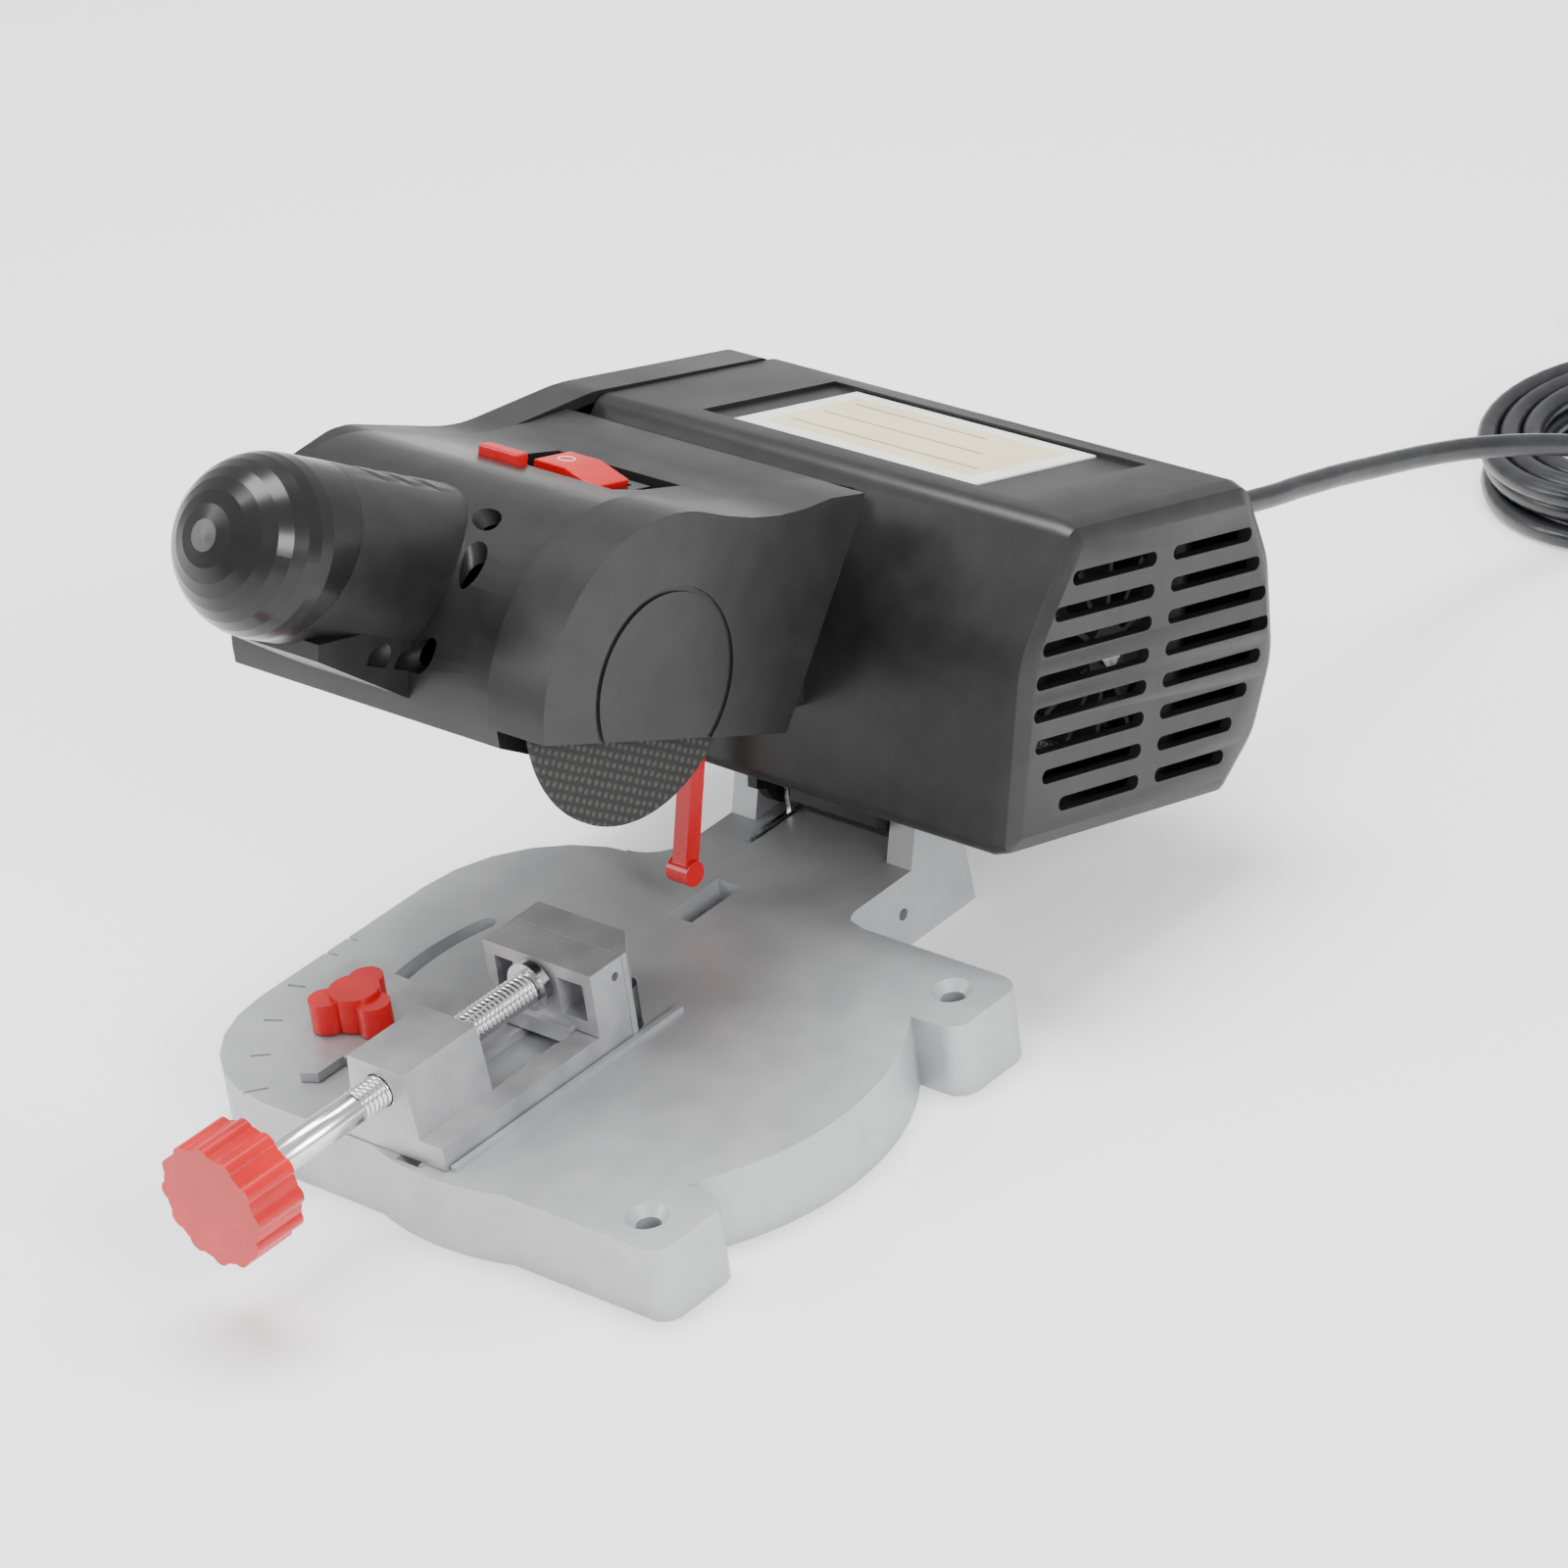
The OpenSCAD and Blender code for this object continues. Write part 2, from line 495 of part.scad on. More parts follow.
module belt_cover() color([0.08, 0.08, 0.09]) head_frame() difference() {
    union() {
        difference() {
            cover_solid(0);
            along_x(left_face_x + cover_t, cover_x + 1) polygon(rounded(inset(cover_corners, 2)));
        }
        for (p = cover_screw_at) rod_x(left_face_x + 1, cover_x, boss_r, p);
    }
    for (p = cover_screw_at) {
        rod_x(left_face_x - 1, cover_x + 1, screw_r, p);
        rod_x(left_face_x - 1, left_face_x + 0.7, 2.4, p);
    }
}
module label_plate() color([0.95, 0.9, 0.7]) head_frame()
    block([-75, 69.4, 23.4], [-21.4, 102.2, 23.7]);

// ---- Switch and lock ----
module switch_bezel() color([0.05, 0.05, 0.05]) head_frame() difference() {
    union() {
        block([-79.6, 17.4, 19.2], [-59.2, 31, 21]);
        block([-78, 18.8, 8], [-60.8, 29.6, 19.4]);
    }
    block([-77.3, 19.4, 10], [-61.5, 29, 30]);
    rocker_pin(1 + fit, 6);
}
module rocker_pin(r, half) translate([switch_c.x, switch_c.y - half, switch_z]) rotate([-90, 0, 0])
    cylinder(r = r, h = 2 * half);
module rocker_switch() color("red") head_frame() {
    translate([switch_c.x, switch_c.y, switch_z]) rotate([0, 8, 0]) along_y(-4.4, 4.4)
        polygon(concat([[-6.9, 5.4]], arc([0, 0], 6.9, 180, 360, 24), [[6.9, 5.4], [0, 6.4]]));
    rocker_pin(1, 5.2);
}
module lock_button() color("red") head_frame() {
    block([-81.8, 12.8, 14], [-72.8, 15.6, 26.2]);
    block([-79, -2, 14], [-75.6, 15.6, 16.6]);
    translate([-77.3, 0, 11.4]) cylinder(r = 1.4, h = 4, $fn = 24);
}
module lock_spring() color("silver") head_frame() for (i = [0:2])
    translate([-77.3, 0, 13.5 - i * 1.1]) rotate_extrude() translate([2.3, 0]) circle(r = 0.4, $fn = 16);
module guide_post() color("crimson") head_frame() {
    block([-57.8, 40.6, -47.8], [-54.6, 44, -12.4]);
    block([-60, 39, -13.1], [-52.4, 45.6, -11.7]);
    translate([-58.6, 42.3, -47.8]) rotate([0, 90, 0]) cylinder(r = 2.3, h = 4.8);
}

// ---- Disc, spindle and drive ----
module cutting_disc() color([0.16, 0.16, 0.16]) head_frame()
    ring_x(disc_x - disc_t / 2, disc_x + disc_t / 2, disc_d / 2, 3);
module inner_flange() color("gray") head_frame() ring_x(disc_x - 3.4, disc_x - disc_t / 2, 8, 3);
module outer_flange() color("gray") head_frame() ring_x(disc_x + disc_t / 2, disc_x + 2.3, 8, 2.5);
module arbor_bolt() color("silver") head_frame() {
    rod_x(disc_x + 2.3, disc_x + 4.5, 4.2);
    rod_x(disc_x - 6, disc_x + 2.4, 2.5 - eps);
}
module spindle() color("lightgray") head_frame() difference() {
    union() {
        rod_x(-107, disc_x - 3.4, 4);
        rod_x(disc_x - 3.5, disc_x + disc_t / 2, 3 - eps);
        ring_x(-81, -73.6, 8, 3);
    }
    rod_x(disc_x - 6.1, disc_x + 1, 2.5);
    // Four lock holes in the collar
    for (a = [0:90:270]) rotate([a, 0, 0]) translate([-77.3, 0, 4.5]) cylinder(r = 1.6, h = 5, $fn = 24);
}
module spindle_bearings() color("gainsboro") head_frame() for (x = [-97, -45]) ring_x(x, x + 5, 8 - eps, 4 + eps);
module pulley(r, bore, p) difference() {
    union() {
        rod_x(belt_x0, belt_x1, r, p);
        for (x = [belt_x0 - 0.9, belt_x1 - 0.1]) rod_x(x, x + 1, r + 2.2, p);
    }
    rod_x(belt_x0 - 2, belt_x1 + 2, bore, p);
}
module spindle_pulley() color("dimgray") head_frame() pulley(spindle_pulley_r, 4, [0, 0]);
module motor_pulley() color("dimgray") head_frame() pulley(motor_pulley_r, 2.5, motor_axis);
// Belt loop: an open band whose two straight runs are tangent to both pulleys
belt_len = norm(motor_axis);
belt_dir = atan2(motor_axis.y, motor_axis.x);
belt_lean = asin((spindle_pulley_r - motor_pulley_r) / belt_len);
function belt_loop(d) = concat(
    arc([0, 0], spindle_pulley_r + d, belt_dir + 90 - belt_lean, belt_dir + 270 + belt_lean, 24),
    arc(motor_axis, motor_pulley_r + d, belt_dir - 90 + belt_lean, belt_dir + 90 - belt_lean, 24));
module drive_belt() color([0.1, 0.1, 0.1]) head_frame() along_x(belt_x0 + 0.4, belt_x1 - 0.4) difference() {
    polygon(belt_loop(1.6));
    polygon(belt_loop(gap));
}
module motor_can() color("silver") head_frame() difference() {
    union() {
        rod_x(-72, -12, motor_r, motor_axis);
        rod_x(-75, -72, 6, motor_axis);
    }
    rod_x(-70, -14, motor_r - 1.6, motor_axis);
    rod_x(-76, -11, 2.5 + fit, motor_axis);
}
module motor_brushes() color("sienna") head_frame() for (s = [-1, 1])
    block([-22, motor_axis.x - 2, motor_axis.y + s * 9.5 - 3.5], [-16, motor_axis.x + 2, motor_axis.y + s * 9.5 + 3.5]);
module motor_shaft() color("lightgray") head_frame() {
    rod_x(-107, -2, 2.5, motor_axis);
    rod_x(-62, -28, 19, motor_axis);
    rod_x(-24, -15, 5.4, motor_axis);
}
module cooling_fan() color([0.2, 0.2, 0.2]) head_frame() difference() {
    union() {
        rod_x(-10, -8.6, 17.6, motor_axis);
        rod_x(-10, -3, 5, motor_axis);
        for (a = [0:30:330]) translate([-9, motor_axis.x, motor_axis.y]) rotate([a, 0, 0])
            block([0, 4, -0.5], [5.4, 17.2, 0.5]);
    }
    rod_x(-12, 0, 2.5, motor_axis);
}

// ---- Fasteners ----
module cover_screws() color("dimgray") head_frame() for (p = cover_screw_at) {
    rod_x(left_face_x - 0.9, left_face_x + 0.7, 2.4 - eps, p);
    rod_x(left_face_x + 0.6, -97, screw_r - eps, p);
}
module guard_screws() color("dimgray") head_frame() for (p = guard_screw_at) {
    rod_x(-42.4, -40.8, 2.2, p);
    rod_x(-40.9, -32.2, screw_r - eps, p);
}
module housing_screws() color("dimgray") head_frame() for (p = housing_screw_at) translate([p.x, p.y, -32.1]) {
    cylinder(r = 2.2 - eps, h = 1.6);
    cylinder(r = screw_r - eps, h = 38);
}

// ---- Power cord ----
module strain_relief() color([0.05, 0.05, 0.05]) head_frame()
    translate([relief_at.x, 0, relief_at.y]) rotate([-90, 0, 0]) difference() {
        union() {
            translate([0, 0, 110.5]) cylinder(r = 4.6 - eps, h = 11);
            translate([0, 0, 121.4]) cylinder(r1 = 4.2, r2 = cord_r + 0.7, h = relief_tip - 121.4);
            for (i = [0:4]) translate([0, 0, 123 + i * 3.2]) cylinder(r = 4.5 - i * 0.22, h = 1.5);
        }
        translate([0, 0, 109]) cylinder(r = 1.6, h = 8);
    }
cord_route = concat([head_point(relief_at.x, relief_tip, relief_at.y), head_point(relief_at.x, 146, relief_at.y)], [
    [-20, 159, 44.4], [-20.4, 165, 42.8], [-20.6, 171, 41.1], [-20.8, 177, 39.4], [-21, 183, 37.5],
    [-21.1, 189, 35.6], [-21, 195, 33.8], [-20.8, 201, 32], [-20.3, 206, 30.5], [-19.6, 211, 29],
    [-18.5, 216, 27.5], [-17, 220.5, 26.1], [-15.1, 225, 24.7], [-12.9, 229.5, 23.2], [-10.5, 234, 21.5],
    [-7.9, 238.5, 19.4], [-5, 243.5, 17.2]],
    [[coil_c.x + coil_in * cos(coil_entry), coil_c.y + coil_in * sin(coil_entry), 15]]);
// Tail, measured from the coil's centre
tail_route = [for (p = [
    [30.6, -4.8, 2.1], [31.2, 2.5, 2.1], [32, 10, 2.2], [32, 18.5, 2.6], [30.6, 27, 3.6],
    [27.6, 35, 4.8], [23, 41.5, 5.7], [18.5, 44.8, 6.2], [14, 45.6, 6.2]]) [p.x + coil_c.x, p.y + coil_c.y, p.z]];
module power_cord() color([0.05, 0.05, 0.05]) tube(cord_route, cord_r);
module cord_tail() color([0.05, 0.05, 0.05]) tube(tail_route, cord_r);
module coil_section(d) offset(r = cord_r - eps) offset(delta = d - cord_r + eps)
    translate([coil_in - cord_r, 0]) square([coil_out - coil_in + cord_d, 2 * coil_pitch + cord_d]);
module cord_coil() color([0.05, 0.05, 0.05]) translate(coil_c) rotate_extrude($fn = 96) coil_section(0);
module cord_tie() color("black") translate(coil_c) rotate([0, 0, 96]) rotate_extrude(angle = 16, $fn = 96)
    difference() {
        intersection() {
            coil_section(1);
            square([50, 30]);
        }
        coil_section(0);
    }
plug_c = [coil_c.x + 10, coil_c.y + 45.6, 6.2];
module along_plug(x0, x1, w, h, r) translate(plug_c) rotate([90, 0, 90]) translate([0, 0, x0])
    linear_extrude(x1 - x0) offset(r) square([w - 2 * r, h - 2 * r], center = true);
module plug_body() color([0.05, 0.05, 0.05]) {
    hull() {
        along_plug(-33, -14, 22, 12.2, 3);
        along_plug(-34, -8, 18, 9.5, 3);
    }
    translate(plug_c) rotate([0, 90, 0]) {
        translate([0, 0, -9]) cylinder(r1 = 4.4, r2 = cord_r + 0.8, h = 13);
        for (i = [0:2]) translate([0, 0, -6.6 + i * 3.2]) cylinder(r = 4.6 - i * 0.4, h = 1.5);
    }
}
module plug_pins() color("gold") for (s = [-1, 1]) translate(plug_c) difference() {
    block([-50, s * 6.35 - 0.75, -3.15], [-33.9, s * 6.35 + 0.75, 3.15]);
    translate([-46, s * 6.35 - 2, 0]) rotate([-90, 0, 0]) cylinder(r = 1.4, h = 4, $fn = 24);
}

base_casting();
hinge_pin();
return_spring();
vise_frame();
vise_pivot_bolt();
vise_lock_bolt();
vise_lock_knob();
moving_jaw();
vise_screw();
retaining_ring();
vise_knob();
upper_housing();
lower_housing();
grip_cap();
blade_guard();
belt_cover();
label_plate();
switch_bezel();
rocker_switch();
lock_button();
lock_spring();
guide_post();
cutting_disc();
inner_flange();
outer_flange();
arbor_bolt();
spindle();
spindle_bearings();
spindle_pulley();
drive_belt();
motor_pulley();
motor_can();
motor_brushes();
motor_shaft();
cooling_fan();
housing_screws();
cover_screws();
guard_screws();
strain_relief();
power_cord();
cord_coil();
cord_tail();
cord_tie();
plug_body();
plug_pins();
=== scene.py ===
"""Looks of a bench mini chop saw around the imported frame: materials, shells, thread, cord, room, camera."""
import json
import math

import bmesh
import bpy
import numpy as np
from mathutils import Matrix, Vector

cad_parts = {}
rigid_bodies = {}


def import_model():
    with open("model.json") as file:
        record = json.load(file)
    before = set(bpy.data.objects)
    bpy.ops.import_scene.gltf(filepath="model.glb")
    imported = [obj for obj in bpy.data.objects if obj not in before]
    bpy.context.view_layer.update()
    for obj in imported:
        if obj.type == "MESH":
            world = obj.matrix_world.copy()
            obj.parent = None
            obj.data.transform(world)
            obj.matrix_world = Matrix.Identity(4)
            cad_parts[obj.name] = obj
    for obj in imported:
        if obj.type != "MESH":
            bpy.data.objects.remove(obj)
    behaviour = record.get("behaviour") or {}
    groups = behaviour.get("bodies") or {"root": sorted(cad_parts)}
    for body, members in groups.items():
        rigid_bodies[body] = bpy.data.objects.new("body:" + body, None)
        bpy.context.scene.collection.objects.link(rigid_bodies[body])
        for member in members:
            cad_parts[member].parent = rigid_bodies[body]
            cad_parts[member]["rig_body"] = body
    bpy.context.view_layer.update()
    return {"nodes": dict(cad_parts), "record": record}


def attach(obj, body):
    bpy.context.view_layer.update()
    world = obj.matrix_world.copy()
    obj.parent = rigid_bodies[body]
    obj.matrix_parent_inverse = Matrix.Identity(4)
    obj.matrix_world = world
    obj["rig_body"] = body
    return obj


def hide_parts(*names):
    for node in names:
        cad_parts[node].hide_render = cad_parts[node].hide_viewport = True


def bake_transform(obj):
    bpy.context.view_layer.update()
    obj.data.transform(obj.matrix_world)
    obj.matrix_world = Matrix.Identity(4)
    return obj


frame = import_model()

MM = 0.001
NODES = frame["nodes"]

# ---- Places shared with the CAD part, in metres ----
HEAD_TILT = math.radians(16.5)
DISC = Vector((-0.0332, 0.0091, 0.0793))         # the head frame's origin, on the disc's axis
CORD_D = 0.0042
RELIEF_X, RELIEF_Z, RELIEF_TIP = -0.020, 0.009, 0.140
COIL_C = (-0.0145, 0.2635)
COIL_IN, COIL_OUT, COIL_PITCH = 0.0187, 0.031, 0.0043
COIL_ENTRY = math.radians(-45)

# ---- Places shared with the CAD part, in millimetres ----
LEAD_HAND = (
    (-20, 159, 44.4), (-20.4, 165, 42.8), (-20.6, 171, 41.1), (-20.8, 177, 39.4), (-21, 183, 37.5),
    (-21.1, 189, 35.6), (-21, 195, 33.8), (-20.8, 201, 32), (-20.3, 206, 30.5), (-19.6, 211, 29),
    (-18.5, 216, 27.5), (-17, 220.5, 26.1), (-15.1, 225, 24.7), (-12.9, 229.5, 23.2), (-10.5, 234, 21.5),
    (-7.9, 238.5, 19.4), (-5, 243.5, 17.2))
TAIL_HAND = (                                    # measured from the coil's centre
    (31.2, 2.5, 2.1), (32, 10, 2.2), (32, 18.5, 2.6), (30.6, 27, 3.6), (27.6, 35, 4.8), (23, 41.5, 5.7),
    (18.5, 44.8, 6.2), (14, 45.6, 6.2))
SCREW_X, SCREW_Z = -49.9, 25.3                   # the vise screw's axis
SHANK_Y, THREAD_Y, NOSE_Y = -82, -51.6, -10.5    # where the screw's three parts begin
SCREW_TIP_Y = -3.1
SHANK_R, NOSE_R = 2.8, 2.3
THREAD_ROOT_R, THREAD_DEPTH, THREAD_PITCH = 2.5, 0.45, 1.0
LABEL_TOP = 23.7
ROCKER_PIVOT = (-69.4, 24.2, 17.6)
ROCKER_TILT = 8                                  # degrees


def head_point(x, y, z):
    """A place in the tilted head's own frame, as a place in the world."""
    c, s = math.cos(HEAD_TILT), math.sin(HEAD_TILT)
    return Vector((x, DISC.y + y * c + z * s, DISC.z - y * s + z * c))


def head_matrix():
    """The head's own frame, as a matrix: its origin lies on X = 0."""
    return Matrix.Translation((0, DISC.y, DISC.z)) @ Matrix.Rotation(-HEAD_TILT, 4, "X")


# ---- Camera ----
def add_camera():
    """The photograph's view: from the front right, above, and rolled a little."""
    azimuth, elevation, roll = (math.radians(a) for a in (44.75, 29.48, -8.25))
    back = Vector((math.sin(azimuth) * math.cos(elevation), -math.cos(azimuth) * math.cos(elevation),
                   math.sin(elevation)))
    right = Vector((math.cos(azimuth), math.sin(azimuth), 0))
    up = back.cross(right)
    across = right * math.cos(roll) + up * math.sin(roll)
    above = up * math.cos(roll) - right * math.sin(roll)
    data = bpy.data.cameras.new("camera")
    data.lens = 144.73
    data.sensor_width = 36
    data.clip_start = 0.05
    data.clip_end = 20
    camera = bpy.data.objects.new("camera", data)
    turn = Matrix((across, above, back)).transposed().to_4x4()
    camera.matrix_world = Matrix.Translation((0.61045, -0.60969, 0.56006)) @ turn
    bpy.context.scene.collection.objects.link(camera)
    bpy.context.scene.camera = camera


add_camera()


# ---- Mesh helpers ----
def link(obj):
    bpy.context.scene.collection.objects.link(obj)
    return obj


def from_data(name, verts, faces, smooth=True):
    mesh = bpy.data.meshes.new(name)
    mesh.from_pydata([tuple(v) for v in verts], [], faces)
    mesh.update()
    mesh.polygons.foreach_set("use_smooth", [smooth] * len(mesh.polygons))
    return link(bpy.data.objects.new(name, mesh))


def smooth_route(points, per_span=8):
    """A Catmull-Rom curve through points, as closely spaced points."""
    p = [np.array(q, float) for q in points]
    p = [2 * p[0] - p[1], *p, 2 * p[-1] - p[-2]]
    out = []
    for i in range(1, len(p) - 2):
        for k in range(per_span):
            t = k / per_span
            out.append(0.5 * (2 * p[i] + (p[i + 1] - p[i - 1]) * t
                              + (2 * p[i - 1] - 5 * p[i] + 4 * p[i + 1] - p[i + 2]) * t * t
                              + (3 * p[i] - 3 * p[i + 1] + p[i + 2] - p[i - 1]) * t ** 3))
    out.append(p[-2])
    return out


def ring_faces(rings, sides, flip=False):
    """Quads between neighbouring rings of points, then a cap on either end."""
    faces = []
    for i in range(rings - 1):
        for k in range(sides):
            a, b = i * sides + k, i * sides + (k + 1) % sides
            faces.append((a, b, b + sides, a + sides))
    last = (rings - 1) * sides
    faces.append(tuple(range(sides - 1, -1, -1)))
    faces.append(tuple(last + k for k in range(sides)))
    return [(face[0], *face[:0:-1]) for face in faces] if flip else faces


def tube(name, route, radius, sides=14):
    """A closed round tube along a route, with rings turned the least from one to the next."""
    pts = np.array(route, float)
    step = np.diff(pts, axis=0)
    tangent = np.vstack([step[:1], step[:-1] + step[1:], step[-1:]])
    tangent /= np.linalg.norm(tangent, axis=1)[:, None]
    side = np.cross(tangent[0], (0, 0, 1.0))
    verts = []
    for c, t in zip(pts, tangent):
        side = side - t * side.dot(t)
        side /= np.linalg.norm(side)
        up = np.cross(side, t)
        for k in range(sides):
            a = 2 * math.pi * k / sides
            verts.append(c + radius * (math.cos(a) * side + math.sin(a) * up))
    return from_data(name, verts, ring_faces(len(pts), sides))


# ---- Cord: lead, coil and tail on one centreline ----
def lead_points():
    """From the strain relief's tip down onto the coil."""
    first = [head_point(RELIEF_X, RELIEF_TIP, RELIEF_Z), head_point(RELIEF_X, 0.146, RELIEF_Z)]
    return first + [Vector(p) * MM for p in LEAD_HAND]


def coil_points(per_turn=48):
    """Three layers of turns: outwards on top, inwards below it, outwards on the floor.

    Each layer begins with a short step down, a part of a turn at a constant radius."""
    lanes = (COIL_OUT - COIL_IN) / COIL_PITCH
    step_turns = 1 / 6
    total = 3 * (lanes + step_turns)
    count = round(total * per_turn)
    floor = CORD_D / 2
    out = []
    for i in range(count + 1):
        t = total * i / count
        layer = min(2, int(t / (lanes + step_turns)))
        inside = t - layer * (lanes + step_turns)
        down = min(1, inside / step_turns)
        down = down * down * (3 - 2 * down)
        along = max(0, inside - step_turns) * COIL_PITCH
        radius = COIL_OUT - along if layer == 1 else COIL_IN + along
        z = floor + COIL_PITCH * (3 - layer - down)
        angle = COIL_ENTRY + 2 * math.pi * t
        out.append(Vector((COIL_C[0] + radius * math.cos(angle), COIL_C[1] + radius * math.sin(angle), z)))
    return out


def tail_points():
    """From the coil's last turn, round its far side, to the plug."""
    return [Vector((x * MM + COIL_C[0], y * MM + COIL_C[1], z * MM)) for x, y, z in TAIL_HAND]


def make_cord():
    turns = coil_points()
    lead = smooth_route(lead_points() + turns[:1])[:-1]
    tail = smooth_route(turns[-1:] + tail_points())[1:]
    route = lead + turns + tail
    cord = tube("power_cord_run", route, CORD_D / 2)
    return cord, route


cord_run, cord_path = make_cord()


# ---- Materials ----
def principled(name, colour, roughness, metallic=0.0, coat=0.0, coat_roughness=0.1, specular=0.5):
    mat = bpy.data.materials.new(name)
    mat.use_nodes = True
    shader = mat.node_tree.nodes["Principled BSDF"]
    shader.inputs["Base Color"].default_value = (*colour, 1)
    shader.inputs["Roughness"].default_value = roughness
    shader.inputs["Metallic"].default_value = metallic
    shader.inputs["Coat Weight"].default_value = coat
    shader.inputs["Coat Roughness"].default_value = coat_roughness
    shader.inputs["Specular IOR Level"].default_value = specular
    return mat, mat.node_tree, shader


def add(tree, kind, **inputs):
    node = tree.nodes.new(kind)
    for key, value in inputs.items():
        node.inputs[key.replace("_", " ")].default_value = value
    return node


def noise(tree, scale, detail=4.0, roughness=0.55, stretch=(1, 1, 1)):
    where = tree.nodes.new("ShaderNodeTexCoord")
    mapping = tree.nodes.new("ShaderNodeMapping")
    mapping.inputs["Scale"].default_value = stretch
    tree.links.new(where.outputs["Object"], mapping.inputs["Vector"])
    node = add(tree, "ShaderNodeTexNoise", Scale=scale, Detail=detail, Roughness=roughness)
    tree.links.new(mapping.outputs["Vector"], node.inputs["Vector"])
    return node.outputs["Fac"]


def ramp(tree, fac, stops):
    node = tree.nodes.new("ShaderNodeValToRGB")
    tree.links.new(fac, node.inputs["Fac"])
    elements = node.color_ramp.elements
    while len(elements) < len(stops):
        elements.new(0.5)
    for element, (at, colour) in zip(elements, stops):
        element.position = at
        element.color = (*colour, 1) if len(colour) == 3 else (colour[0],) * 3 + (1,)
    return node.outputs["Color"]


def spread(tree, fac, low, high, target):
    """Maps a 0 to 1 texture onto low to high, and feeds target."""
    node = tree.nodes.new("ShaderNodeMapRange")
    node.inputs["From Min"].default_value = 0.3
    node.inputs["From Max"].default_value = 0.7
    node.inputs["To Min"].default_value = low
    node.inputs["To Max"].default_value = high
    tree.links.new(fac, node.inputs["Value"])
    tree.links.new(node.outputs["Result"], target)


def bump(tree, shader, height, strength, distance):
    node = add(tree, "ShaderNodeBump", Strength=strength, Distance=distance)
    tree.links.new(height, node.inputs["Height"])
    previous = shader.inputs["Normal"].links
    if previous:
        tree.links.new(previous[0].from_socket, node.inputs["Normal"])
    tree.links.new(node.outputs["Normal"], shader.inputs["Normal"])


def shell_plastic(name, shade, low, high, grain=0.25, specular=0.35):
    """Injection-moulded black plastic: fine spark-eroded grain, and wear that varies its gloss."""
    mat, tree, shader = principled(name, (shade, shade, shade * 1.08), 0.4, specular=specular)
    broad = noise(tree, 28, 3)
    spread(tree, broad, low, high, shader.inputs["Roughness"])
    colour = ramp(tree, noise(tree, 160, 3), [(0.3, (shade * 0.8,) * 3), (0.7, (shade * 1.25,) * 3)])
    tree.links.new(colour, shader.inputs["Base Color"])
    bump(tree, shader, noise(tree, 2600, 2, 0.6), grain, 0.00003)
    return mat


def red_plastic():
    mat, tree, shader = principled("red_plastic", (0.5, 0.003, 0.006), 0.3,
                                   coat=0.15, coat_roughness=0.12, specular=0.35)
    colour = ramp(tree, noise(tree, 90, 3), [(0.3, (0.44, 0.002, 0.005)), (0.7, (0.58, 0.004, 0.008))])
    tree.links.new(colour, shader.inputs["Base Color"])
    spread(tree, noise(tree, 60, 3), 0.22, 0.36, shader.inputs["Roughness"])
    bump(tree, shader, noise(tree, 1500, 2), 0.12, 0.00003)
    return mat


def cast_metal(name, dark, light, low, high, metallic, coarse):
    """Painted or bare die casting: soft mottling and a fine pebbled skin."""
    mat, tree, shader = principled(name, light, 0.45, metallic=metallic)
    colour = ramp(tree, noise(tree, 130, 5), [(0.3, dark), (0.7, light)])
    tree.links.new(colour, shader.inputs["Base Color"])
    spread(tree, noise(tree, 70, 4), low, high, shader.inputs["Roughness"])
    bump(tree, shader, noise(tree, 1400, 3), coarse, 0.00006)
    bump(tree, shader, noise(tree, 260, 2), coarse * 0.6, 0.0001)
    return mat


def steel(name, tone, low, high, stretch):
    """Turned or drawn steel, with fine streaks along its grain."""
    mat, tree, shader = principled(name, (tone,) * 3, 0.3, metallic=1.0)
    streaks = noise(tree, 900, 3, 0.6, stretch)
    colour = ramp(tree, streaks, [(0.3, (tone * 0.75,) * 3), (0.7, (tone * 1.1,) * 3)])
    tree.links.new(colour, shader.inputs["Base Color"])
    spread(tree, streaks, low, high, shader.inputs["Roughness"])
    bump(tree, shader, streaks, 0.15, 0.00002)
    return mat


def abrasive():
    """Resin-bonded disc: crossed glass-cloth threads under dark grit."""
    mat, tree, shader = principled("abrasive_disc", (0.02, 0.02, 0.02), 0.8)
    where = tree.nodes.new("ShaderNodeTexCoord")
    height = None
    for turn in (35, 125):
        mapping = tree.nodes.new("ShaderNodeMapping")
        mapping.inputs["Rotation"].default_value = (math.radians(turn), 0, 0)
        tree.links.new(where.outputs["Object"], mapping.inputs["Vector"])
        wave = add(tree, "ShaderNodeTexWave", Scale=190, Distortion=1.2, Detail=2, Detail_Scale=3)
        wave.bands_direction = "Y"
        tree.links.new(mapping.outputs["Vector"], wave.inputs["Vector"])
        if height is None:
            height = wave.outputs["Fac"]
        else:
            both = tree.nodes.new("ShaderNodeMath")
            both.operation = "MULTIPLY"
            tree.links.new(height, both.inputs[0])
            tree.links.new(wave.outputs["Fac"], both.inputs[1])
            height = both.outputs[0]
    colour = ramp(tree, height, [(0.05, (0.012, 0.012, 0.012)), (0.8, (0.05, 0.048, 0.046))])
    tree.links.new(colour, shader.inputs["Base Color"])
    bump(tree, shader, height, 0.7, 0.0002)
    bump(tree, shader, noise(tree, 3500, 2), 0.5, 0.0001)
    return mat


